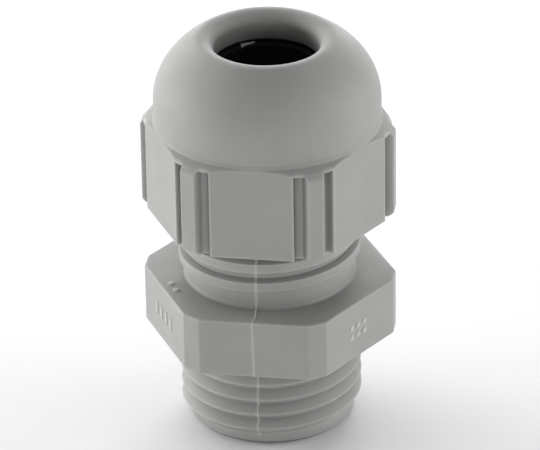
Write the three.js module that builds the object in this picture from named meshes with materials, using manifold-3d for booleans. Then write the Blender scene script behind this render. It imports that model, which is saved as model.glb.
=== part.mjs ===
// A PG 9 cable gland in grey polyamide: a threaded body with a ring of clamping fingers, a rubber
// sealing insert inside them, and a domed nut that screws down and presses the fingers inward.
// Millimetres. The cable's axis is Z, and the mounting thread's free end stands at z = 0.
// A place round the axis is an azimuth: 0 is the front, -Y, and it grows towards +X.
import * as THREE from "three";
import { mergeVertices } from "three/addons/utils/BufferGeometryUtils.js";
import Module from "manifold-3d";

const wasm = await Module();
wasm.setup();

// ---- Driving dimensions ----

const TURN = 2 * Math.PI;
const SIDES = 36; // facets in a full circle
const HALF_FLATS = 9.5; // both hexagons take a 19 mm wrench
const FACES = 6;
const RUNNING_GAP = 0.1; // between pieces that move on each other
const EMBED = 0.25; // how deep a thread's ridge is rooted in its wall
const SINK = 0.05; // how far a ridge lies under its wall's surface where it has faded out
const CUT_MARGIN = 0.5; // how far a cutting shape reaches past what it cuts

const mountThread = { root: 6.93, crest: 7.6, pitch: 1.411, rootWidth: 1.24, crestWidth: 0.12 };
const mountThreadPlace = { frontCrest: 1.84, firstCrest: 0.95, fade: 0.4 };
const endChamfer = 0.33; // where the mounting thread's core begins
const leadIn = 1; // height of the cone that trims the first turn's crest

const flange = { bottom: 8, top: 13.15, corner: 10.5 };
const seatRelief = { radius: 7.75, depth: 0.1 }; // keeps the flange's seat clear of the last crest

const capThread = { root: 7.05, crest: 7.6, pitch: 1.75, rootWidth: 1.25, crestWidth: 0.8 };
const capThreadPlace = { frontCrest: 15.375, firstCrest: 13.99, lastCrest: 21.6, fade: 0.22 };

const bodyBore = 5.2;
const sealPocket = { radius: 5.6, floor: 15 };
const neckFillet = 0.3;
const bodyTop = 22.3;

const fingerCount = 12;
const finger = {
  root: bodyTop + 0.15,
  bend: 27.5, // where the finger starts to lean inward
  tip: 31.2,
  inner: 5.6,
  outer: 6.6,
  tipInner: 4.4,
  tipOuter: 5.05,
  nose: 0.25, // the tip's rounded edge
  rootHalfAngle: THREE.MathUtils.degToRad(13.1),
  tipHalfAngle: THREE.MathUtils.degToRad(7),
  lean: THREE.MathUtils.degToRad(8), // how far round the axis the tip is slanted
};

const seal = {
  bottom: 15.2,
  shoulder: 27.3, // the sleeve narrows above this, with the fingers
  outer: 5.5,
  neck: 4.27,
  collar: 4.75, // lies over the fingers' tips
  collarBottom: 31.4,
  top: 32,
  bore: 4,
  mouth: 0.5, // flare at the bore's lower end
};

const nut = {
  bottom: 19.05,
  corner: 10.56,
  padHalf: 3.55, // half-width of the raised pad on each face
  grooveEdge: 4.57, // the grip groove beside it ends here
  grooveDepth: 0.6,
  grooveTop: 26.8,
  threadRoot: 7.8,
  threadCrest: 7.25,
  threadTop: 24.8,
  ridgeRootWidth: 0.84,
  ridgeCrestWidth: 0.42,
  entryChamfer: 0.3,
};

// The dome's outline is a quarter of a superellipse, ended by a round lip.
const dome = { radius: 9.4, baseZ: 29, base: 27.5, height: 6.95, power: 2.08, lipAngle: 0.896 };
const lipRadius = 1.07;
// The bevels on the nut's hexagon: a small one under its corners, and one over them up to the dome.
const footBevel = [
  [10.17, 19.05],
  [10.9, 19.7],
];
const shoulder = [
  [10.9, 26.18],
  [10.14, 26.94],
  [9.5, 27.27],
  [9.38, 27.5],
];

const cone = {
  bottom: 26.7,
  top: 32.2,
  outer: 7.5,
  outerBend: 30, // narrows above this, inside the dome
  outerTop: 6.2,
  entry: 6.95,
  entryTop: 27.2,
  waist: { radius: 5.8, z: 30.6 },
  throat: 5.3,
};

// ---- Materials ----

const greyPolyamide = () => new THREE.MeshStandardMaterial({ color: 0x9a9a96, roughness: 0.5, metalness: 0 });
const blackRubber = () => new THREE.MeshStandardMaterial({ color: 0x161616, roughness: 0.8, metalness: 0 });

// ---- Solids from three.js geometry, and back ----

function closedMesh(geometry, flipped) {
  const bare = geometry.clone();
  bare.deleteAttribute("normal");
  bare.deleteAttribute("uv");
  const merged = mergeVertices(bare, 1e-4);
  const corners = merged.index.array;
  const kept = [];
  for (let i = 0; i < corners.length; i += 3) {
    const [a, b, c] = corners.subarray(i, i + 3);
    const collapsed = a === b || b === c || c === a;
    if (!collapsed) kept.push(a, flipped ? c : b, flipped ? b : c);
  }
  return new wasm.Mesh({
    numProp: 3,
    vertProperties: merged.getAttribute("position").array,
    triVerts: new Uint32Array(kept),
  });
}

function solidOf(geometry) {
  const solid = new wasm.Manifold(closedMesh(geometry, false));
  if (solid.volume() > 0) return solid;
  return new wasm.Manifold(closedMesh(geometry, true));
}

function geometryOf(solid) {
  const mesh = solid.getMesh();
  const geometry = new THREE.BufferGeometry();
  geometry.setAttribute("position", new THREE.BufferAttribute(mesh.vertProperties, 3));
  geometry.setIndex(new THREE.BufferAttribute(mesh.triVerts, 1));
  return geometry;
}

function namedMesh(name, solid, material) {
  const mesh = new THREE.Mesh(geometryOf(solid), material);
  mesh.name = name;
  return mesh;
}

// ---- Shapes that the pieces share ----

// A solid of revolution about Z, from [radius, height] points, with its first corner at the front.
function turned(outline) {
  const points = outline.map(([radius, height]) => new THREE.Vector2(radius, height));
  const geometry = new THREE.LatheGeometry(points, SIDES);
  return solidOf(geometry.rotateX(Math.PI / 2));
}

// A ring is turned from an outline that closes on itself.
const turnedRing = (outline) => turned([...outline, outline[0]]);

// A plug is turned from an outline whose two ends are closed to the axis.
const turnedPlug = (outline) => turned([[0, outline[0][1]], ...outline, [0, outline.at(-1)[1]]]);

// A hexagonal prism with a flat at the front and its corners cut off square at a radius.
function hexPrism(corner, bottom, top) {
  const slant = Math.PI / FACES;
  const halfFace = (corner - HALF_FLATS * Math.cos(slant)) / Math.sin(slant);
  const shape = new THREE.Shape();
  const points = [];
  for (let face = 0; face < FACES; face++) {
    for (const side of [-1, 1]) {
      const point = new THREE.Vector2(side * halfFace, -HALF_FLATS);
      points.push(point.rotateAround(new THREE.Vector2(), (face * TURN) / FACES));
    }
  }
  shape.setFromPoints(points);
  const geometry = new THREE.ExtrudeGeometry(shape, { depth: top - bottom, bevelEnabled: false });
  return solidOf(geometry.translate(0, 0, bottom));
}

// The ridge of a right-hand screw thread. Its section is drawn with x outward from the wall, then
// wound round the axis. A crest radius under the root radius makes an internal thread. place gives
// the height of a crest at the front, the heights where the ridge starts and ends, and the part of a
// turn over which it rises from the wall and sinks back into it.
function threadRidge(thread, place) {
  const { frontCrest, firstCrest, lastCrest, fade } = place;
  const outward = Math.sign(thread.crest - thread.root);
  const height = Math.abs(thread.crest - thread.root);
  const sunkWidth = thread.rootWidth + ((thread.rootWidth - thread.crestWidth) * SINK) / height;
  const section = new THREE.Shape([
    new THREE.Vector2(-EMBED, -sunkWidth / 2),
    new THREE.Vector2(-SINK, -sunkWidth / 2),
    new THREE.Vector2(height, -thread.crestWidth / 2),
    new THREE.Vector2(height, thread.crestWidth / 2),
    new THREE.Vector2(-SINK, sunkWidth / 2),
    new THREE.Vector2(-EMBED, sunkWidth / 2),
  ]);
  const steps = Math.round(((lastCrest - firstCrest) / thread.pitch) * SIDES);
  const start = Math.round(((firstCrest - frontCrest) / thread.pitch) * SIDES) / SIDES;
  const turns = steps / SIDES;
  const geometry = new THREE.ExtrudeGeometry(section, { depth: turns, steps, bevelEnabled: false });
  const position = geometry.getAttribute("position");
  for (let i = 0; i < position.count; i++) {
    const wound = position.getZ(i);
    const rise = Math.min(1, wound / fade, (turns - wound) / fade);
    const proud = position.getX(i);
    const lift = proud > 0 ? (height + SINK) * rise - SINK : proud;
    const radius = thread.root + outward * lift;
    const azimuth = (start + wound) * TURN;
    const z = frontCrest + thread.pitch * (start + wound) + position.getY(i);
    position.setXYZ(i, radius * Math.sin(azimuth), -radius * Math.cos(azimuth), z);
  }
  return solidOf(geometry);
}

// ---- Gland body: mounting thread, hexagonal flange, neck and cap thread, in one moulding ----

function glandBody() {
  const neckZ = flange.top + neckFillet;
  const endRadius = mountThread.root - endChamfer;
  const outside = turnedPlug([
    [endRadius, 0],
    [mountThread.root, endChamfer],
    [mountThread.root, flange.top],
    [capThread.root + neckFillet, flange.top],
    [capThread.root, neckZ],
    [capThread.root, bodyTop - neckFillet],
    [capThread.root - neckFillet, bodyTop],
  ]);
  const bore = turnedPlug([
    [bodyBore, -CUT_MARGIN],
    [bodyBore, sealPocket.floor],
    [sealPocket.radius, sealPocket.floor],
    [sealPocket.radius, bodyTop + CUT_MARGIN],
  ]);
  const trim = turnedPlug([
    [endRadius, 0],
    [endRadius + leadIn, leadIn],
    [endRadius + leadIn, flange.top],
  ]);
  const relief = turnedPlug([
    [seatRelief.radius, 0],
    [seatRelief.radius, flange.bottom + seatRelief.depth],
  ]);
  const mountRidge = threadRidge(mountThread, {
    ...mountThreadPlace,
    lastCrest: flange.bottom + mountThread.rootWidth,
  });
  return outside
    .add(hexPrism(flange.corner, flange.bottom, flange.top).subtract(relief))
    .add(mountRidge.intersect(trim))
    .add(threadRidge(capThread, capThreadPlace))
    .subtract(bore);
}

// ---- Clamping fingers: a slit cage on the body's rim, one finger to each hinge ----

function fingerCage() {
  return turnedRing([
    [finger.inner, finger.root],
    [finger.outer, finger.root],
    [finger.outer, finger.bend],
    [finger.tipOuter, finger.tip - finger.nose],
    [finger.tipOuter - finger.nose, finger.tip],
    [finger.tipInner, finger.tip],
    [finger.inner, finger.bend],
  ]);
}

// A tapered blade that cuts one slanted finger out of the cage. It is drawn as angle against height,
// then bent round the axis.
function fingerBlade(azimuth) {
  const { rootHalfAngle, tipHalfAngle, lean } = finger;
  const low = finger.root - CUT_MARGIN;
  const high = finger.tip + CUT_MARGIN;
  const outline = new THREE.Shape([
    new THREE.Vector2(-rootHalfAngle, low),
    new THREE.Vector2(rootHalfAngle, low),
    new THREE.Vector2(lean + tipHalfAngle, high),
    new THREE.Vector2(lean - tipHalfAngle, high),
  ]);
  const geometry = new THREE.ExtrudeGeometry(outline, { depth: 1, steps: 1, bevelEnabled: false });
  const position = geometry.getAttribute("position");
  for (let i = 0; i < position.count; i++) {
    const radius = position.getZ(i) > 0 ? finger.outer + CUT_MARGIN : finger.tipInner - CUT_MARGIN;
    const angle = azimuth + position.getX(i);
    position.setXYZ(i, radius * Math.sin(angle), -radius * Math.cos(angle), position.getY(i));
  }
  return solidOf(geometry);
}

// ---- Sealing insert: the rubber sleeve that the fingers press on the cable ----

function sealingInsert() {
  return turnedRing([
    [seal.bore + seal.mouth, seal.bottom],
    [seal.outer, seal.bottom],
    [seal.outer, seal.shoulder],
    [seal.neck, finger.tip - finger.nose],
    [seal.neck, seal.collarBottom],
    [seal.collar, seal.collarBottom],
    [seal.collar, seal.top],
    [seal.bore, seal.top],
    [seal.bore, seal.bottom + seal.mouth],
  ]);
}

// ---- Dome nut ----

function domeOutline() {
  const along = (angle) => [
    dome.radius * Math.cos(angle) ** (2 / dome.power),
    dome.baseZ + dome.height * Math.sin(angle) ** (2 / dome.power),
  ];
  const outline = [[dome.radius, dome.base]];
  const arcSteps = 8;
  for (let i = 0; i <= arcSteps; i++) outline.push(along((dome.lipAngle * i) / arcSteps));
  const [r, z] = outline.at(-1);
  const [beforeR, beforeZ] = along(dome.lipAngle - 0.001);
  const slope = Math.atan2(beforeR - r, z - beforeZ);
  const centre = [r - lipRadius * Math.cos(slope), z - lipRadius * Math.sin(slope)];
  const lipSteps = 6;
  for (let i = 1; i <= lipSteps; i++) {
    const angle = slope + ((Math.PI - slope) * i) / lipSteps;
    outline.push([centre[0] + lipRadius * Math.cos(angle), centre[1] + lipRadius * Math.sin(angle)]);
  }
  return outline;
}

function gripGrooves() {
  const width = nut.grooveEdge - nut.padHalf;
  const depth = nut.corner - HALF_FLATS + nut.grooveDepth + CUT_MARGIN;
  const length = nut.grooveTop - nut.bottom + CUT_MARGIN;
  const grooves = [];
  for (let face = 0; face < FACES; face++) {
    for (const side of [-1, 1]) {
      const box = new THREE.BoxGeometry(width, depth, length);
      box.translate(side * (nut.padHalf + width / 2), -(HALF_FLATS - nut.grooveDepth + depth / 2), 0);
      box.rotateZ((face * TURN) / FACES);
      grooves.push(solidOf(box.translate(0, 0, nut.grooveTop - length / 2)));
    }
  }
  return grooves;
}

function nutHexagon() {
  const bevel = turnedPlug([[footBevel[0][0], nut.bottom - CUT_MARGIN], ...footBevel, ...shoulder]);
  const prism = hexPrism(nut.corner, nut.bottom, dome.base).intersect(bevel);
  return gripGrooves().reduce((left, groove) => left.subtract(groove), prism);
}

function domeNut() {
  const outline = domeOutline();
  const mouth = outline.at(-1);
  const domeSolid = turnedPlug(outline);
  const hollow = turnedPlug([
    [nut.threadRoot + nut.entryChamfer, nut.bottom - CUT_MARGIN],
    [nut.threadRoot + nut.entryChamfer, nut.bottom],
    [nut.threadRoot, nut.bottom + nut.entryChamfer],
    [nut.threadRoot, nut.threadTop],
    [cone.outer + RUNNING_GAP, nut.threadTop + nut.entryChamfer],
    [cone.outer + RUNNING_GAP, cone.outerBend],
    [cone.outerTop + RUNNING_GAP, cone.top + RUNNING_GAP],
    [mouth[0], cone.top + RUNNING_GAP],
    [mouth[0], dome.baseZ + dome.height],
  ]);
  const thread = {
    root: nut.threadRoot,
    crest: nut.threadCrest,
    pitch: capThread.pitch,
    rootWidth: nut.ridgeRootWidth,
    crestWidth: nut.ridgeCrestWidth,
  };
  const ridge = threadRidge(thread, {
    frontCrest: capThreadPlace.frontCrest + capThread.pitch / 2,
    firstCrest: nut.bottom + nut.entryChamfer + nut.ridgeRootWidth,
    lastCrest: nut.threadTop - nut.ridgeRootWidth,
    fade: capThreadPlace.fade,
  });
  return nutHexagon().add(domeSolid).subtract(hollow).add(ridge);
}

// ---- Pressure cone: the smooth inner cone of the nut, which slides down over the fingers ----

function pressureCone() {
  return turnedRing([
    [cone.entry, cone.bottom],
    [cone.outer, cone.bottom],
    [cone.outer, cone.outerBend],
    [cone.outerTop, cone.top],
    [cone.throat, cone.top],
    [cone.waist.radius, cone.waist.z],
    [cone.entry, cone.entryTop],
  ]);
}

// ---- Assembly ----

const cableGland = new THREE.Group();
cableGland.add(namedMesh("gland_body", glandBody(), greyPolyamide()));
cableGland.add(namedMesh("sealing_insert", sealingInsert(), blackRubber()));
const cage = fingerCage();
for (let i = 0; i < fingerCount; i++) {
  const name = "clamping_finger_" + String(i + 1).padStart(2, "0");
  const blade = fingerBlade((i * TURN) / fingerCount);
  cableGland.add(namedMesh(name, cage.intersect(blade), greyPolyamide()));
}
cableGland.add(namedMesh("nut_pressure_cone", pressureCone(), greyPolyamide()));
cableGland.add(namedMesh("dome_nut", domeNut(), greyPolyamide()));

export default cableGland;
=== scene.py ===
"""A PG 9 cable gland in grey polyamide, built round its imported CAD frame.

Outlines are drawn in millimetres and scaled to metres as each mesh is finished. An azimuth is a place
round the gland's axis: 0 is the front, -Y, and it grows towards +X.
"""

import math

import bmesh
import bpy
import numpy as np
from mathutils import Matrix, Vector


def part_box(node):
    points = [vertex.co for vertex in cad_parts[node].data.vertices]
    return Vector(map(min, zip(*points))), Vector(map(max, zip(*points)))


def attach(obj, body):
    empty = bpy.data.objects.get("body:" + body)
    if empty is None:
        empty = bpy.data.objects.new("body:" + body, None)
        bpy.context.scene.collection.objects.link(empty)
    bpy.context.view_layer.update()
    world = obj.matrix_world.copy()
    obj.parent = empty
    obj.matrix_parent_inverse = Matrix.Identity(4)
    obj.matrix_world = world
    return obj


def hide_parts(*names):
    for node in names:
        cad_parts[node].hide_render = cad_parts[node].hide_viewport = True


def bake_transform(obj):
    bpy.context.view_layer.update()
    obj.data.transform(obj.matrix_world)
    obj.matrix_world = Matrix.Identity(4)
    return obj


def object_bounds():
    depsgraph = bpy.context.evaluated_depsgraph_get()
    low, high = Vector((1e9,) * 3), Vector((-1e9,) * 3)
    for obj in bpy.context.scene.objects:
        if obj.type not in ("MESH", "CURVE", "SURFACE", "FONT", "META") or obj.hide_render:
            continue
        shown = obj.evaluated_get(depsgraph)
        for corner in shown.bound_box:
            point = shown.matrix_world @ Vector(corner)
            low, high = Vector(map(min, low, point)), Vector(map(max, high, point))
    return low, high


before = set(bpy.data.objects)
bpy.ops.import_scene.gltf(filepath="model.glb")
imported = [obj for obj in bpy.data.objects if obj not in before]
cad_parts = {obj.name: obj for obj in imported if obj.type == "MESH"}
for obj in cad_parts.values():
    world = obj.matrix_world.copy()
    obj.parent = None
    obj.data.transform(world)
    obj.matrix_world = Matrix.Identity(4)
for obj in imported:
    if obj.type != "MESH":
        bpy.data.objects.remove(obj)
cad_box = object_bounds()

MM = 0.001

# ---- Sizes, mm ----

HALF_FLATS = 9.5  # half the width across flats of both hexagons
EDGE = 0.15  # radius of the moulded edges
CREASE = 32  # degrees between faces that shade as a sharp edge

BODY_BORE = 5.2
POCKET_RADIUS = 5.6
POCKET_FLOOR = 15.0
CORE_RADIUS = 6.93
END_CHAMFER = 0.33
FLANGE_BOTTOM = 8.0
FLANGE_TOP = 13.15
FLANGE_CORNER = 10.5
FLANGE_INNER = 8.8  # where the flange's flat faces get their inner row of points
RELIEF_RADIUS = 7.75  # of the recess round the thread in the flange's underside
RELIEF_DEPTH = 0.1
NECK_RADIUS = 7.05
NECK_FILLET = 0.3
BODY_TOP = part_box("gland_body")[1].z / MM

# "above" and "below" are the widths of a ridge's foot over and under the middle of its crest. "front"
# is a crest's height at the front; "first" and "last" are where the ridge begins and ends.
MOUNT_THREAD = {
    "root": CORE_RADIUS, "crest": 7.6, "pitch": 1.411, "above": 0.69, "below": 0.69, "crest_width": 0.08,
    "front": 1.84, "first": 0.95, "last": FLANGE_BOTTOM + 1.24, "fade": 0.4,
}
CAP_THREAD = {
    "root": NECK_RADIUS, "crest": 7.6, "pitch": 1.75, "above": 0.625, "below": 0.45, "crest_width": 0.8,
    "front": 15.375, "first": 13.99, "last": 21.6, "fade": 0.22,
}
NUT_THREAD = {
    "root": 7.8, "crest": 7.25, "pitch": 1.75, "above": 0.42, "below": 0.42, "crest_width": 0.42,
    "front": 15.375 + 1.75 / 2, "first": 20.19, "last": 23.96, "fade": 0.22,
}

SEAM_ACROSS = -0.05  # the parting seam's place beside the front's middle
SEAM_WANDER = 0.05
SEAM_HALF_WIDTH = 0.035
SEAM_PROUD = 0.04
SEAM_EMBED = 0.12  # how far it reaches into the wall

# Plain pips on two of the flange's flats: place across and height of each, and its half-sizes.
MARKS_LEFT = [(-1.6 + 1.05 * i, 10.6, 0.2, 0.62) for i in range(4)]
MARKS_RIGHT = [(-1.2 + 0.85 * i, 10.15 + 0.9 * j, 0.26, 0.26) for i in range(3) for j in range(2)]
# Two round pips on the flange's top: their azimuths, their distance from the axis and their radius.
TOP_MARK_AZIMUTHS = (-64, -56)
TOP_MARK_PLACE = 8.6
TOP_MARK_RADIUS = 0.3

NUT_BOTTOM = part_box("dome_nut")[0].z / MM
NUT_CORNER = 10.56
PAD_HALF = 3.55
GROOVE_END = 4.57
GROOVE_DEPTH = 0.6
GROOVE_TOP = 26.8
NUT_BORE = 7.8
NUT_THREAD_TOP = 24.8
MOUTH_CHAMFER = 0.12  # on the mouth's lower rim, inside the dome
# Height and radius of the bevels under and over the corners of the nut's hexagon.
FOOT_BEVEL = [(19.05, 10.17), (19.7, 10.9)]
SHOULDER = [(26.18, 10.9), (26.52, 10.56), (26.94, 10.14), (27.27, 9.5), (27.5, 9.38), (27.57, 8.9)]

DOME_RADIUS = 9.4
DOME_FOOT = 29.0
DOME_HEIGHT = 6.95
DOME_POWER = 2.08
LIP_ANGLE = 0.896
LIP_RADIUS = 1.07

CONE_BOTTOM, CONE_TOP = (v.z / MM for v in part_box("nut_pressure_cone"))
CONE_OUTER = 7.5
CONE_OUTER_BEND = 30.0
CONE_OUTER_TOP = 6.2
CONE_INNER_FOOT = 6.95
RUNNING_GAP = 0.1

FINGERS = 12
FINGER_ROOT, FINGER_TIP = (v.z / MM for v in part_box("clamping_finger_01"))
FINGER_BEND = 27.5  # below it the cage is a plain tube, above it a cone
FINGER_ROOT_HALF, FINGER_TIP_HALF = 13.0, 6.8  # half of one finger's span round the axis, degrees
FINGER_LEAN = 8  # degrees from root to tip
FINGER_TIP_ROUND = 0.3
FINGER_CROWN = 0.12  # how far the outside's long edges fall away

SEAL_BOTTOM, SEAL_TOP = (v.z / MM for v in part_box("sealing_insert"))
SEAL_BORE = 4.0
SEAL_OUTER = 5.5
SEAL_TIP = 4.27  # the sleeve's outside where the finger tips press on it
SEAL_COLLAR = 4.75
SEAL_SPACING = 0.5  # between points along the sleeve's section, so that it bends evenly


# ---- Meshes ----


def make_object(name, points, faces):
    """A mesh object from points in millimetres, its faces turned outward."""
    mesh = bpy.data.meshes.new(name)
    mesh.from_pydata(np.asarray(points, float).tolist(), [], faces)
    shell = bmesh.new()
    shell.from_mesh(mesh)
    bmesh.ops.recalc_face_normals(shell, faces=shell.faces)
    shell.to_mesh(mesh)
    shell.free()
    piece = bpy.data.objects.new(name, mesh)
    bpy.context.scene.collection.objects.link(piece)
    return piece


def wound_points(azimuth, radius, height):
    """Points on circles round the axis."""
    return np.stack(
        [radius * np.sin(azimuth), -radius * np.cos(azimuth), height + 0 * azimuth], -1
    )


def loop_faces(rows, columns, rows_close, columns_close):
    """Quads between neighbouring rows and columns of a grid of points."""
    last_row = rows if rows_close else rows - 1
    last_column = columns if columns_close else columns - 1
    faces = []
    for row in range(last_row):
        low, high = row * columns, (row + 1) % rows * columns
        for column in range(last_column):
            beside = (column + 1) % columns
            faces.append((low + column, low + beside, high + beside, high + column))
    return faces


def turned_piece(name, outline, azimuth):
    """A ring: each (radius, height) of a closed outline is carried round the axis. A radius may be
    an array with a value for each azimuth."""
    points = [wound_points(azimuth, radius + 0 * azimuth, height) for radius, height in outline]
    faces = loop_faces(len(outline), len(azimuth), True, True)
    return make_object(name, np.concatenate(points), faces)


def swept_piece(name, sections):
    """A bar through closed sections of equal length, with flat ends."""
    rows, columns = len(sections), len(sections[0])
    faces = loop_faces(rows, columns, False, True)
    faces.append(tuple(range(columns)))
    faces.append(tuple(range((rows - 1) * columns, rows * columns)))
    return make_object(name, np.concatenate(sections), faces)


def combine(target, tools):
    """Joins the tools to the target and removes them as objects."""
    for tool in tools:
        step = target.modifiers.new("combine", "BOOLEAN")
        step.operation = "UNION"
        step.solver = "MANIFOLD"
        step.object = tool
    graph = bpy.context.evaluated_depsgraph_get()
    mesh = bpy.data.meshes.new_from_object(target.evaluated_get(graph))
    target.modifiers.clear()
    target.data = mesh
    for tool in tools:
        bpy.data.objects.remove(tool)


def finish_piece(piece, body, nodes, material):
    """Scales a piece to metres, shades it, gives it its material, hides the CAD nodes that it stands for,
    and ties it to its body. A piece tied to no body has None for its body."""
    piece.data.transform(Matrix.Scale(MM, 4))
    piece.data.materials.clear()
    piece.data.materials.append(material)
    piece.data.polygons.foreach_set("use_smooth", [True] * len(piece.data.polygons))
    piece.data.set_sharp_from_angle(angle=math.radians(CREASE))
    if body:
        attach(piece, body)
    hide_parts(*nodes)


# ---- Curves and outlines ----


def azimuths(edges=(), reach=0.75):
    """Azimuths all round, closer together within reach of each edge. Degrees in, radians out."""
    coarse, close = 1.5, 0.15
    plain = np.arange(0, 360, coarse)
    near = np.arange(-reach, reach + close / 2, close)
    fine = np.concatenate([edge + near for edge in edges] or [[]])
    if len(fine):
        away = np.abs((plain[:, None] - fine[None, :] + 180) % 360 - 180).min(1)
        plain = plain[away > close]
    every = np.unique(np.round(np.concatenate([plain, fine % 360]), 4))
    kept = np.concatenate([[True], np.diff(every) > close / 3])
    return np.radians(every[kept])


def smooth_min(a, b, blend):
    """The lesser of two values, rounded where they cross."""
    near = np.maximum(blend - np.abs(a - b), 0) / blend
    return np.minimum(a, b) - near * near * blend / 4


def smooth_max(a, b, blend):
    """The greater of two values, rounded where they cross."""
    return -smooth_min(-a, -b, blend)


def ease(value, start, end):
    """0 before start and 1 after end, smoothly."""
    t = np.clip((value - start) / (end - start), 0, 1)
    return t * t * (3 - 2 * t)


def off_face(azimuth):
    """The angle from the middle of the nearest of six faces, without its sign."""
    sixth = math.pi / 3
    return np.abs((azimuth + sixth / 2) % sixth - sixth / 2)


def hexagon(azimuth, corner, blend=0.06):
    """The radius of a hexagon with a flat at the front and its corners cut off."""
    angle = off_face(azimuth)
    return smooth_min(HALF_FLATS / np.cos(angle), corner / np.cos(math.pi / 6 - angle), blend)


def arc(centre, radius, start, end, steps):
    """Points of a round corner, from one angle in degrees to another."""
    angles = np.radians(np.linspace(start, end, steps + 1))
    return [(centre[0] + radius * math.cos(a), centre[1] + radius * math.sin(a)) for a in angles]


def hexagon_edge(corner):
    """The angle, in degrees, from a flat's middle to its edge with the cut corner."""
    slant = math.pi / 6
    half = (corner - HALF_FLATS * math.cos(slant)) / math.sin(slant)
    return math.degrees(math.atan2(half, HALF_FLATS))


def on_each_face(*angles):
    """Each angle from a face's middle, on both sides of all six faces."""
    return [60 * face + side * angle for face in range(6) for side in (-1, 1) for angle in angles]


# ---- Screw threads ----


def ridge_rise(thread, wound, turns):
    """How far the ridge stands out, from 0 to 1, after so many turns."""
    return np.clip(np.minimum(wound, turns - wound) / thread["fade"], 0, 1)


def thread_turns(thread):
    """Where a ridge begins, in turns from the front, and how many turns it makes."""
    start = (thread["first"] - thread["front"]) / thread["pitch"]
    return start, (thread["last"] - thread["first"]) / thread["pitch"]


def thread_ridge(name, thread, rounding, steps_a_turn=160, lead_in=None):
    """A right-hand ridge wound round the axis, rooted in its wall. lead_in(height) gives the radius
    that trims its first turn."""
    outward = math.copysign(1, thread["crest"] - thread["root"])
    height = abs(thread["crest"] - thread["root"])
    sunk, embed = 0.05, 0.25
    just_inside = 0.02  # keeps the first turn off the body's end face
    narrow = thread["crest_width"] / 2

    def flank(foot):
        """One side of the section, as height above the wall and distance from the crest's middle."""
        slope = (foot - narrow) / height
        wide = foot + slope * sunk
        return [
            (-embed, wide), (-sunk, wide), (height - rounding, narrow + rounding * slope),
            (height - rounding * 0.3, narrow + rounding * slope * 0.1),
            (height, max(narrow - rounding * 0.7, 0.01)),
        ]

    section = np.array([(x, -y) for x, y in flank(thread["below"])] + flank(thread["above"])[::-1])
    start, turns = thread_turns(thread)
    sections = []
    for wound in np.linspace(0, turns, round(turns * steps_a_turn) + 1):
        rise = ridge_rise(thread, wound, turns)
        proud = section[:, 0]
        lift = np.where(proud > 0, (proud + sunk) * rise - sunk, proud)
        azimuth = (start + wound) * math.tau + 0 * lift
        z = thread["front"] + thread["pitch"] * (start + wound) + section[:, 1]
        radius = thread["root"] + outward * lift
        if lead_in:
            radius = np.minimum(radius, lead_in(z))
            z = np.maximum(z, just_inside)
        sections.append(wound_points(azimuth, radius, z))
    return swept_piece(name, sections)


def thread_radius(thread, azimuth, z):
    """The radius of a threaded wall at one place, for what has to follow it."""
    start, turns = thread_turns(thread)
    height = thread["crest"] - thread["root"]
    best = 0.0
    for turn in range(math.floor(start), math.ceil(start + turns) + 1):
        wound = turn + azimuth / math.tau - start
        if 0 <= wound <= turns:
            middle = thread["front"] + thread["pitch"] * (turn + azimuth / math.tau)
            foot = thread["above"] if z > middle else thread["below"]
            inside = (foot - abs(z - middle)) / (foot - thread["crest_width"] / 2)
            best = max(best, min(max(inside, 0), 1) * ridge_rise(thread, wound, turns))
    return thread["root"] + height * best


# ---- Gland body ----


def lead_in_radius(z):
    """The cone that trims the mounting thread's first turn."""
    return CORE_RADIUS - END_CHAMFER + np.maximum(z, 0)


def body_outline(azimuth):
    """The body's closed outline, from the free end's bore up the outside and down the bore. The points
    inside straight runs keep the shading even."""
    flange = hexagon(azimuth, FLANGE_CORNER)
    outline = [(BODY_BORE + 0.1, 0.0), (CORE_RADIUS - END_CHAMFER - 0.05, 0.0)]
    outline += [(CORE_RADIUS - END_CHAMFER + 0.03, 0.04), (CORE_RADIUS, END_CHAMFER)]
    outline += [(CORE_RADIUS, z) for z in (2, 4, 6, FLANGE_BOTTOM + RELIEF_DEPTH)]
    outline += [
        (RELIEF_RADIUS - 0.03, FLANGE_BOTTOM + RELIEF_DEPTH), (RELIEF_RADIUS, FLANGE_BOTTOM + 0.05),
        (RELIEF_RADIUS + 0.03, FLANGE_BOTTOM), (FLANGE_INNER, FLANGE_BOTTOM),
    ]
    outline += [(flange - EDGE + r, z) for r, z in arc((0, FLANGE_BOTTOM + EDGE), EDGE, -90, 0, 5)]
    outline += [(flange, z) for z in (9.5, 11.5)]
    outline += [(flange - EDGE + r, z) for r, z in arc((0, FLANGE_TOP - EDGE), EDGE, 0, 90, 5)]
    outline += [(FLANGE_INNER, FLANGE_TOP), (8.0, FLANGE_TOP)]
    fillet_middle = (NECK_RADIUS + NECK_FILLET, FLANGE_TOP + NECK_FILLET)
    outline += arc(fillet_middle, NECK_FILLET, 270, 180, 5)
    outline += [(NECK_RADIUS, z) for z in (16, 19, BODY_TOP - 0.3)]
    outline += [(NECK_RADIUS - 0.3, BODY_TOP), (POCKET_RADIUS, BODY_TOP)]
    outline += [(POCKET_RADIUS, POCKET_FLOOR), (BODY_BORE, POCKET_FLOOR), (BODY_BORE, 0.1)]
    return outline


def gland_body(material):
    """The body without its fingers, with the ridges of both threads joined on."""
    azimuth = azimuths(on_each_face(hexagon_edge(FLANGE_CORNER)))
    body = turned_piece("moulded_body", body_outline(azimuth), azimuth)
    ridges = [
        thread_ridge("mount_ridge", MOUNT_THREAD, 0.07, lead_in=lead_in_radius),
        thread_ridge("cap_ridge", CAP_THREAD, 0.1),
    ]
    combine(body, ridges)
    finish_piece(body, "gland_body", ["gland_body"], material)


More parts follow.
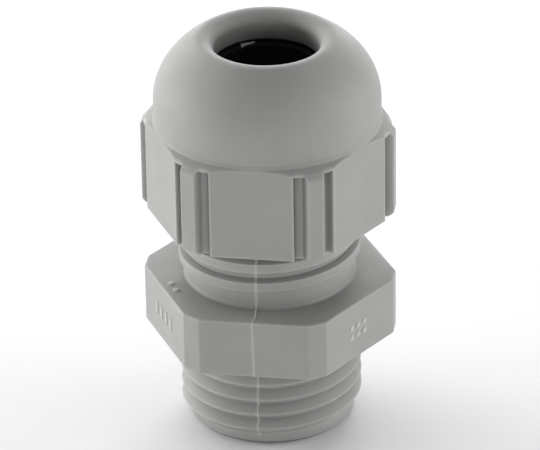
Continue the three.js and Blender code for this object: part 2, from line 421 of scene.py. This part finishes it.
def seam_path():
    """The body's front outline from above its free end to just below the nut, as (radius, height)."""
    start, end = 0.9, NUT_BOTTOM - 1.2
    fine, coarse = 0.06, 0.15
    neck = NECK_RADIUS + NECK_FILLET
    path = [(thread_radius(MOUNT_THREAD, 0, z), z) for z in np.arange(start, FLANGE_BOTTOM, fine)]
    path += [(r, FLANGE_BOTTOM) for r in np.arange(RELIEF_RADIUS + 0.1, HALF_FLATS, 0.2)]
    path += [(HALF_FLATS, z) for z in np.arange(FLANGE_BOTTOM, FLANGE_TOP + 0.01, coarse)]
    path += [(r, FLANGE_TOP) for r in np.arange(HALF_FLATS - coarse, neck, -coarse)]
    path += [(thread_radius(CAP_THREAD, 0, z), z) for z in np.arange(FLANGE_TOP + NECK_FILLET, end, fine)]
    return np.array(path)


def parting_seam(material):
    """The thin flash that the mould's two halves leave down the front of the body."""
    path = seam_path()
    along = np.gradient(path, axis=0)
    along /= np.maximum(np.linalg.norm(along, axis=1), 1e-9)[:, None]
    outward = np.stack([along[:, 1], -along[:, 0]], -1)
    side, shoulder = SEAM_HALF_WIDTH, 0.3 * SEAM_PROUD
    section = [
        (-side, -SEAM_EMBED), (-side, shoulder), (0, SEAM_PROUD), (side, shoulder), (side, -SEAM_EMBED),
    ]
    sections = []
    for (radius, z), normal in zip(path, outward):
        middle = SEAM_ACROSS + SEAM_WANDER * math.sin(3 * radius + 0.6 * z)
        points = []
        for across, out in section:
            r, h = np.array([radius, z]) + out * normal
            points.append((across + middle, -r, h))
        sections.append(np.array(points))
    seam = swept_piece("parting_seam", sections)
    finish_piece(seam, "gland_body", ["gland_body"], material)


def raised_pip(name, centre, side, up, half_width, half_height, material):
    """A low pip, round or oval, that stands on a face of the flange. side and up lie in that face."""
    out = np.cross(side, up)
    turn = np.radians(np.arange(0, 360, 15))
    crown = ((1, -0.1), (1, 0.05), (0.85, 0.08), (0.5, 0.1))  # share of its size, height off the face
    sections = []
    for share, lift in crown:
        across = np.outer(np.cos(turn) * half_width * share, side)
        along = np.outer(np.sin(turn) * half_height * share, up)
        sections.append(centre + out * lift + across + along)
    pip = swept_piece(name, sections)
    finish_piece(pip, "gland_body", ["gland_body"], material)


def mould_marks(material):
    """Plain raised pips where a maker would put its marks: a row of four ovals on one flat, two rows of
    round ones on another, and a pair on the flange's top."""
    up = np.array([0, 0, 1])
    for face, pips in ((-60, MARKS_LEFT), (60, MARKS_RIGHT)):
        azimuth = math.radians(face)
        out = np.array([math.sin(azimuth), -math.cos(azimuth), 0])
        side = np.array([math.cos(azimuth), math.sin(azimuth), 0])
        for i, (across, z, half_width, half_height) in enumerate(pips):
            centre = out * HALF_FLATS + side * across + up * z
            raised_pip(f"mould_pip_{face}_{i + 1}", centre, side, up, half_width, half_height, material)
    side, along = np.array([1, 0, 0]), np.array([0, 1, 0])
    for i, azimuth in enumerate(TOP_MARK_AZIMUTHS):
        centre = wound_points(np.radians(azimuth), TOP_MARK_PLACE, FLANGE_TOP)
        name = f"mould_pip_top_{i + 1}"
        raised_pip(name, centre, side, along, TOP_MARK_RADIUS, TOP_MARK_RADIUS, material)


# ---- Dome nut ----


def dome_profile():
    """The dome's outline from its foot to the end of its round lip."""

    def along(angle):
        return (
            DOME_RADIUS * math.cos(angle) ** (2 / DOME_POWER),
            DOME_FOOT + DOME_HEIGHT * math.sin(angle) ** (2 / DOME_POWER),
        )

    outline = [along(angle) for angle in np.linspace(0, LIP_ANGLE, 40)]
    (r0, z0), (r1, z1) = along(LIP_ANGLE - 1e-4), along(LIP_ANGLE)
    slope = math.degrees(math.atan2(r0 - r1, z1 - z0))
    centre = (
        r1 - LIP_RADIUS * math.cos(math.radians(slope)),
        z1 - LIP_RADIUS * math.sin(math.radians(slope)),
    )
    return outline + arc(centre, LIP_RADIUS, slope, 180, 20)[1:]


def nut_side(azimuth, z):
    """The radius of the nut's grip: a flat pad on each face, a groove on either side of it that ends
    under the bevel, and a rib at each corner."""
    angle = off_face(azimuth)
    across = HALF_FLATS * np.tan(angle)
    past_pad = ease(across, PAD_HALF - 0.12, PAD_HALF + 0.2)
    past_groove = ease(across, GROOVE_END - 0.2, GROOVE_END + 0.12)
    past_top = ease(z, GROOVE_TOP - 0.05, GROOVE_TOP + 0.05)
    groove = past_pad * (1 - past_groove) * (1 - past_top)
    floor = (HALF_FLATS - GROOVE_DEPTH) / np.cos(angle)
    side = hexagon(azimuth, NUT_CORNER)
    return side + (floor - side) * groove


def nut_outline(azimuth):
    """The nut's closed outline, from its foot up the outside, over the dome's lip and down the inside."""
    side = nut_side(azimuth, NUT_BOTTOM)
    foot_heights, foot_radii = zip(*FOOT_BEVEL)
    heights, radii = zip(*SHOULDER)
    dome = dome_profile()

    def foot(z):
        return smooth_min(side, np.interp(z, foot_heights, foot_radii), 0.08)

    outline = [(8.15, NUT_BOTTOM), (8.6, NUT_BOTTOM)]
    outline += [(foot(z) - EDGE + r, z) for r, z in arc((0, NUT_BOTTOM + EDGE), EDGE, -90, 0, 5)]
    outline += [(foot(z), z) for z in np.arange(NUT_BOTTOM + EDGE, 19.75, 0.06)[1:]]
    outline += [(side, z) for z in (21, 23, 25)]
    shoulder = np.arange(25.9, 27.75, 0.055)
    below_dome = np.arange(27.8, DOME_FOOT, 0.15)
    for z in (25.6, *shoulder, *below_dome):
        grip = smooth_min(nut_side(azimuth, z), np.interp(z, heights, radii), 0.14)
        collar = DOME_RADIUS - 0.02 * (DOME_FOOT - z)
        outline.append((smooth_max(grip, collar, 0.12), z))
    outline += dome
    mouth, ceiling = dome[-1][0], CONE_TOP + RUNNING_GAP
    outline += [
        (mouth, ceiling + 0.6), (mouth, ceiling + MOUTH_CHAMFER),
        (mouth + 0.04, ceiling + 0.03), (mouth + MOUTH_CHAMFER, ceiling),
        (CONE_OUTER_TOP + RUNNING_GAP, ceiling), (CONE_OUTER + RUNNING_GAP, CONE_OUTER_BEND),
        (CONE_OUTER + RUNNING_GAP, NUT_THREAD_TOP + 0.3), (NUT_BORE, NUT_THREAD_TOP),
        (NUT_BORE, NUT_BOTTOM + 0.35),
    ]
    return outline


def dome_nut(material):
    """The nut with its inner thread, without the cone inside it."""
    pad_edge = math.degrees(math.atan2(PAD_HALF, HALF_FLATS))
    rib_edge = math.degrees(math.atan2(GROOVE_END, HALF_FLATS))
    azimuth = azimuths(on_each_face(pad_edge, rib_edge, hexagon_edge(NUT_CORNER)), reach=1.35)
    nut = turned_piece("moulded_dome_nut", nut_outline(azimuth), azimuth)
    combine(nut, [thread_ridge("nut_ridge", NUT_THREAD, 0.06, steps_a_turn=120)])
    finish_piece(nut, "dome_nut", ["dome_nut"], material)


def pressure_cone(material):
    """The cone inside the dome. Its hollow narrows upward, and pushes the finger tips inward."""
    outline = [
        (CONE_INNER_FOOT, CONE_BOTTOM), (CONE_OUTER, CONE_BOTTOM), (CONE_OUTER, CONE_OUTER_BEND),
        (CONE_OUTER_TOP, CONE_TOP), (5.3, CONE_TOP), (5.55, 31.4), (5.8, 30.6), (6.35, 29.0),
        (CONE_INNER_FOOT, 27.2),
    ]
    cone = turned_piece("nut_inner_cone", outline, azimuths())
    finish_piece(cone, "cone_carrier", ["nut_pressure_cone"], material)


# ---- Clamping fingers ----


def finger_wall(z):
    """The finger cage's inner and outer radius at a height."""
    heights = (FINGER_ROOT, FINGER_BEND, FINGER_TIP)
    return np.interp(z, heights, (5.6, 5.6, 4.42)), np.interp(z, heights, (6.6, 6.6, 5.02))


def clamping_finger(index, material):
    """One slanted finger, thin at its root and narrow at its rounded tip."""
    azimuth = index * math.tau / FINGERS
    round_start = FINGER_TIP - FINGER_TIP_ROUND
    straight = np.linspace(FINGER_ROOT, round_start, 30)
    rounded = round_start + FINGER_TIP_ROUND * np.sin(np.radians([20, 40, 60, 80]))
    turn = np.linspace(-1, 1, 9)
    crown_start = 0.75
    crown = FINGER_CROWN * np.maximum(np.abs(turn) - crown_start, 0) / (1 - crown_start)
    sections = []
    for z in (*straight, *rounded):
        share = (z - FINGER_ROOT) / (FINGER_TIP - FINGER_ROOT)
        half = math.radians(FINGER_ROOT_HALF + (FINGER_TIP_HALF - FINGER_ROOT_HALF) * share)
        lean = math.radians(FINGER_LEAN * share)
        inner, outer = finger_wall(z)
        outer -= 0.5 * max(0, z - round_start)
        outside = wound_points(azimuth + lean + half * turn, outer - crown, z)
        inside = wound_points(azimuth + lean + half * turn[::-1], inner + 0.5 * crown[::-1], z)
        sections.append(np.concatenate([outside, inside]))
    name = f"clamping_finger_{index + 1:02d}"
    finger = swept_piece(f"moulded_finger_{index + 1:02d}", sections)
    finish_piece(finger, f"finger_{index + 1:02d}", [name], material)


def finger_flash(material):
    """A small sharp fin of flash from one finger's tip, lying over the sleeve's collar. It thickens
    away from its inner edge."""
    foot = SEAL_TOP + 0.01
    no_thickness = 3.6  # the radius at which its slope would meet its flat underside
    plan = [(200, 4.62), (202, 4.3), (210, 4.2), (217, 4.06), (220.5, 3.9), (217.5, 4.3), (217, 4.62)]
    azimuth, radius = np.array(plan).T
    azimuth = np.radians(azimuth)
    sections = [wound_points(azimuth, radius, foot + slope * (radius - no_thickness)) for slope in (0, 0.06)]
    fin = swept_piece("finger_flash", sections)
    finish_piece(fin, "finger_08", ["clamping_finger_08"], material)


# ---- Sealing insert ----


def seal_outline():
    """The sleeve's closed section: its bore, the collar over the finger tips, and its outside."""
    foot = [(4.5, SEAL_BOTTOM), (SEAL_OUTER - 0.1, SEAL_BOTTOM), (SEAL_OUTER, SEAL_BOTTOM + 0.1)]
    outside = [(SEAL_OUTER, z) for z in (21, 24, 27.3)] + [(4.9, 29.1), (SEAL_TIP, 30.95), (SEAL_TIP, 31.35)]
    collar = [
        (SEAL_COLLAR - 0.03, 31.4), (SEAL_COLLAR, 31.5), (SEAL_COLLAR, 31.9),
        (SEAL_COLLAR - 0.1, SEAL_TOP), (SEAL_BORE + 0.1, SEAL_TOP), (SEAL_BORE, SEAL_TOP - 0.1),
    ]
    bore = [(SEAL_BORE, z) for z in (30.5, 29, 27, 25, 23, 20, 17.5, SEAL_BOTTOM + 0.5)]
    return foot + outside + collar + bore


def seal_sector(index, material):
    """The part of the sleeve that one finger presses. It is tied to no body."""
    middle = index * 360 / FINGERS
    half = 180 / FINGERS
    azimuth = np.radians(np.linspace(middle - half, middle + half, 16))
    outline = refined(seal_outline(), SEAL_SPACING)
    sections = [
        wound_points(np.full(len(outline), a), outline[:, 0], outline[:, 1]) for a in azimuth
    ]
    sector = swept_piece(f"seal_sector_{index + 1:02d}", sections)
    finish_piece(sector, None, ["sealing_insert"], material)
    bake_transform(sector)


def refined(outline, spacing):
    """A closed outline with more points along its long stretches."""
    corners = np.array(outline, float)
    points = []
    for a, b in zip(corners, np.roll(corners, -1, 0)):
        count = max(1, round(np.linalg.norm(b - a) / spacing))
        points += [a + (b - a) * i / count for i in range(count)]
    return np.array(points)


# ---- Materials ----


def new_material(name):
    """A material, its nodes and links, and its shader."""
    material = bpy.data.materials.new(name)
    material.use_nodes = True
    nodes = material.node_tree.nodes
    return material, nodes, material.node_tree.links, nodes["Principled BSDF"]


def add_noise(nodes, links, coordinates, scale, detail, roughness=0.5):
    """Noise that is fixed to the piece, with scale in cells a metre."""
    noise = nodes.new("ShaderNodeTexNoise")
    noise.inputs["Scale"].default_value = scale
    noise.inputs["Detail"].default_value = detail
    noise.inputs["Roughness"].default_value = roughness
    links.new(coordinates.outputs["Object"], noise.inputs["Vector"])
    return noise


def add_ramp(nodes, links, source, low, high, dark, light):
    """Colours from dark to light as source goes from low to high."""
    ramp = nodes.new("ShaderNodeValToRGB")
    ramp.color_ramp.elements[0].position = low
    ramp.color_ramp.elements[0].color = (*dark, 1)
    ramp.color_ramp.elements[1].position = high
    ramp.color_ramp.elements[1].color = (*light, 1)
    links.new(source.outputs["Fac"], ramp.inputs["Fac"])
    return ramp


def add_range(nodes, links, value, low, high, to_low, to_high):
    """A value that goes from to_low to to_high as another goes from low to high."""
    spread = nodes.new("ShaderNodeMapRange")
    spread.inputs["From Min"].default_value = low
    spread.inputs["From Max"].default_value = high
    spread.inputs["To Min"].default_value = to_low
    spread.inputs["To Max"].default_value = to_high
    links.new(value, spread.inputs["Value"])
    return spread


def add_openness(nodes, reach, inside=False):
    """How free of other surfaces each place is within reach, from 0 to 1. inside looks into the wall."""
    openness = nodes.new("ShaderNodeAmbientOcclusion")
    openness.inside = inside
    openness.samples = 12
    openness.inputs["Distance"].default_value = reach
    return openness


def add_recess_shade(nodes, links, colour, reach, deepest):
    """Darkens a colour in grooves, thread roots and corners: painted shade where little light reaches."""
    recess = add_openness(nodes, reach)
    ramp = nodes.new("ShaderNodeValToRGB")
    ramp.color_ramp.elements[0].position = 0.35
    ramp.color_ramp.elements[0].color = (deepest, deepest, deepest, 1)
    ramp.color_ramp.elements[1].position = 0.85
    ramp.color_ramp.elements[1].color = (1, 1, 1, 1)
    links.new(recess.outputs["AO"], ramp.inputs["Fac"])
    blend = nodes.new("ShaderNodeMix")
    blend.data_type = "RGBA"
    blend.blend_type = "MULTIPLY"
    blend.inputs["Factor"].default_value = 1
    links.new(colour.outputs["Color"], blend.inputs["A"])
    links.new(ramp.outputs["Color"], blend.inputs["B"])
    return blend


def add_painted_edge_highlight(nodes, links, colour, reach, edge_highlight):
    """Lightens a colour on sharp convex edges, such as thread crests and the rims of pads: painted highlight
    where light catches them.
    """
    edge = add_openness(nodes, reach, inside=True)
    spread = add_range(nodes, links, edge.outputs["AO"], 0.45, 0.95, 1, 0)
    blend = nodes.new("ShaderNodeMix")
    blend.data_type = "RGBA"
    links.new(spread.outputs["Result"], blend.inputs["Factor"])
    links.new(colour.outputs["Result"], blend.inputs["A"])
    blend.inputs["B"].default_value = (*edge_highlight, 1)
    return blend


def add_bump(nodes, links, shader, layers):
    """Bumps one on another, each from a height source, a strength and a depth in metres."""
    before = None
    for source, strength, depth in layers:
        bump = nodes.new("ShaderNodeBump")
        bump.inputs["Strength"].default_value = strength
        bump.inputs["Distance"].default_value = depth
        links.new(source.outputs["Fac"], bump.inputs["Height"])
        if before:
            links.new(before.outputs["Normal"], bump.inputs["Normal"])
        before = bump
    links.new(before.outputs["Normal"], shader.inputs["Normal"])


def grey_polyamide(name):
    """Semi-matte moulded polyamide: faint clouding, the fine grain of the mould's steel, slow flow
    waves, painted shade in recesses and painted highlights on sharp edges."""
    material, nodes, links, shader = new_material(name)
    coordinates = nodes.new("ShaderNodeTexCoord")
    clouds = add_noise(nodes, links, coordinates, 260, 5, 0.6)
    grain = add_noise(nodes, links, coordinates, 7500, 3, 0.6)
    waves = add_noise(nodes, links, coordinates, 420, 2)
    ramp = add_ramp(nodes, links, clouds, 0.35, 0.68, (0.320, 0.320, 0.311), (0.342, 0.342, 0.333))
    # Painted shade: a darker colour in grooves, thread roots and corners.
    shaded = add_recess_shade(nodes, links, ramp, 1.4 * MM, 0.64)
    # Painted highlight: a lighter colour on sharp convex edges such as thread crests and pad rims.
    edge_highlight = add_painted_edge_highlight(nodes, links, shaded, 0.3 * MM, (0.46, 0.46, 0.445))
    links.new(edge_highlight.outputs["Result"], shader.inputs["Base Color"])
    gloss = add_range(nodes, links, waves.outputs["Fac"], 0.3, 0.7, 0.57, 0.67)
    links.new(gloss.outputs["Result"], shader.inputs["Roughness"])
    add_bump(nodes, links, shader, [(waves, 0.25, 0.00002), (grain, 0.3, 0.000006)])
    shader.inputs["Specular IOR Level"].default_value = 0.3
    shader.inputs["IOR"].default_value = 1.53
    return material


def black_rubber(name):
    """Matte black rubber with a fine bloom and a soft moulded grain."""
    material, nodes, links, shader = new_material(name)
    coordinates = nodes.new("ShaderNodeTexCoord")
    bloom = add_noise(nodes, links, coordinates, 900, 4, 0.6)
    grain = add_noise(nodes, links, coordinates, 5200, 3, 0.6)
    ramp = add_ramp(nodes, links, bloom, 0.35, 0.7, (0.006, 0.006, 0.006), (0.012, 0.012, 0.012))
    links.new(ramp.outputs["Color"], shader.inputs["Base Color"])
    gloss = add_range(nodes, links, bloom.outputs["Fac"], 0.3, 0.7, 0.7, 0.85)
    links.new(gloss.outputs["Result"], shader.inputs["Roughness"])
    add_bump(nodes, links, shader, [(grain, 0.35, 0.00001)])
    shader.inputs["Specular IOR Level"].default_value = 0.15
    return material


def pale_floor(name):
    """A plain, almost white and matte floor, faintly uneven."""
    material, nodes, links, shader = new_material(name)
    coordinates = nodes.new("ShaderNodeTexCoord")
    clouds = add_noise(nodes, links, coordinates, 3, 2)
    ramp = add_ramp(nodes, links, clouds, 0.3, 0.7, (0.90, 0.90, 0.90), (0.93, 0.93, 0.93))
    links.new(ramp.outputs["Color"], shader.inputs["Base Color"])
    shader.inputs["Roughness"].default_value = 0.9
    shader.inputs["Specular IOR Level"].default_value = 0.1
    return material


# ---- Stage, light and camera ----


def make_floor():
    half = 2.0
    below = 0.02 * MM
    corners = [(-half, -half, 0), (half, -half, 0), (half, half, 0), (-half, half, 0)]
    mesh = bpy.data.meshes.new("studio_floor")
    mesh.from_pydata(corners, [], [(0, 1, 2, 3)])
    floor = bpy.data.objects.new("studio_floor", mesh)
    bpy.context.scene.collection.objects.link(floor)
    floor.location.z = cad_box[0][2] - below
    mesh.materials.append(pale_floor("pale_floor"))


def seen_from(azimuth, elevation):
    """The unit vector from the gland towards an azimuth and elevation in degrees."""
    azimuth, elevation = math.radians(azimuth), math.radians(elevation)
    level = math.cos(elevation)
    return Vector((math.sin(azimuth) * level, -math.cos(azimuth) * level, math.sin(elevation)))


def add_soft_light(name, azimuth, elevation, power, width, height):
    """A soft light that faces the middle of the gland."""
    distance, middle = 0.4, Vector((0, 0, 0.018))
    light = bpy.data.lights.new(name, "AREA")
    light.shape = "RECTANGLE"
    light.size = width
    light.size_y = height
    light.energy = power
    lamp = bpy.data.objects.new(name, light)
    away = seen_from(azimuth, elevation)
    lamp.location = middle + distance * away
    lamp.rotation_euler = away.to_track_quat("Z", "Y").to_euler()
    bpy.context.scene.collection.objects.link(lamp)


def light_studio():
    """Soft lights on both sides, behind and above, with a weak one in front, in a dim white room."""
    bpy.context.scene.view_settings.view_transform = "Standard"
    world = bpy.data.worlds.new("studio")
    bpy.context.scene.world = world
    world.use_nodes = True
    background = world.node_tree.nodes["Background"]
    background.inputs["Color"].default_value = (1, 1, 1, 1)
    background.inputs["Strength"].default_value = 0.064
    add_soft_light("left_strip", -90, 7, 1.20, 0.3, 0.08)
    add_soft_light("left_rear_softbox", -130, 20, 1.12, 0.3, 0.3)
    add_soft_light("right_softbox", 90, 12, 0.52, 0.3, 0.3)
    add_soft_light("right_rear_strip", 115, 7, 0.72, 0.3, 0.08)
    add_soft_light("back_softbox", 180, 20, 1.36, 0.3, 0.3)
    add_soft_light("top_softbox", 0, 89, 0.42, 0.4, 0.4)
    add_soft_light("front_strip", 9, 7, 0.51, 0.3, 0.08)


def place_camera():
    """The camera, at the angle, distance and slight roll fitted to the photograph."""
    back = seen_from(8.76, 28.54)
    roll = math.radians(-0.94)
    distance, lens = 0.4, 320.2
    aim = Vector((0.00006, 0.00001, 0.01717))
    level = (-back).cross(Vector((0, 0, 1))).normalized()
    rise = level.cross(-back)
    right = math.cos(roll) * level + math.sin(roll) * rise
    up = math.cos(roll) * rise - math.sin(roll) * level
    camera = bpy.data.objects.new("camera", bpy.data.cameras.new("camera"))
    camera.data.lens = lens
    camera.data.sensor_width = 36
    camera.data.clip_start = 0.01
    turn = Matrix((right, up, back)).transposed().to_4x4()
    camera.matrix_world = Matrix.Translation(aim + distance * back) @ turn
    bpy.context.scene.collection.objects.link(camera)
    bpy.context.scene.camera = camera


# ---- Everything together ----

place_camera()
light_studio()
make_floor()

polyamide = grey_polyamide("grey_polyamide")
rubber = black_rubber("black_rubber")

gland_body(polyamide)
parting_seam(polyamide)
mould_marks(polyamide)
for i in range(FINGERS):
    clamping_finger(i, polyamide)
    seal_sector(i, rubber)
finger_flash(polyamide)
pressure_cone(polyamide)
dome_nut(polyamide)
